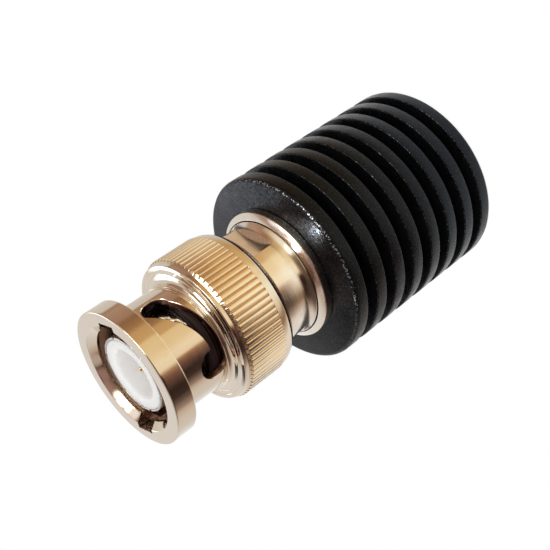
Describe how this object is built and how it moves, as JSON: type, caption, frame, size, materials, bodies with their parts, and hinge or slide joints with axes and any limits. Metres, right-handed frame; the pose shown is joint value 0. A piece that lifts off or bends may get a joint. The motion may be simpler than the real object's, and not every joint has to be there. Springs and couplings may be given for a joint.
{
  "type": "rf dummy load",
  "caption": "Coaxial RF dummy load: a bayonet plug with a knurled, sprung coupling nut, on a round black finned heat sink that holds the load resistor.",
  "frame": {"origin": "centre of the heat sink's flat rear face, on which the load stands", "axes": "+Z along the axis, from the rear face to the plug's mouth; +X through the rim's keyway"},
  "size_m": [0.02, 0.02, 0.0401],
  "materials": {
    "black_anodised": "black anodised, turned",
    "nickel_plate": "bright nickel plated brass",
    "contact_silver": "bright plated spring bronze",
    "ptfe": "turned white PTFE",
    "gold_plate": "gold plated",
    "silicone": "dull red-brown silicone",
    "spring_steel": "bright spring steel",
    "resistor_film": "metal oxide film on a ceramic rod",
    "tinned_brass": "tinned"
  },
  "bodies": {
    "root": {"heat_sink": "black_anodised", "flange_neck": "nickel_plate", "plug_body": "nickel_plate", "finger_sleeve": "contact_silver", "front_insulator": "ptfe", "rear_insulator": "ptfe", "centre_pin": "gold_plate", "face_gasket": "silicone", "wave_washer_rear": "spring_steel", "wave_washer_front": "spring_steel", "resistor_rod": "resistor_film", "resistor_front_cap": "tinned_brass", "resistor_rear_cap": "tinned_brass", "ground_contact": "gold_plate"},
    "thrust_washer": {"flat_washer": "spring_steel"},
    "nut": {"coupling_nut": "nickel_plate", "snap_ring": "spring_steel"}
  },
  "joints": [
    {"name": "nut_slide", "type": "slide", "parent": "root", "child": "thrust_washer", "axis": [0, 0, 1], "range_m": [0, 0.0009], "stiffness_N_per_m": 1500, "springref_m": -0.0005, "deforming": ["wave_washer_rear", "wave_washer_front"]},
    {"name": "nut_turn", "type": "hinge", "parent": "thrust_washer", "child": "nut", "pos_m": [0, 0, 0.0295], "axis": [0, 0, 1], "continuous": true}
  ]
}
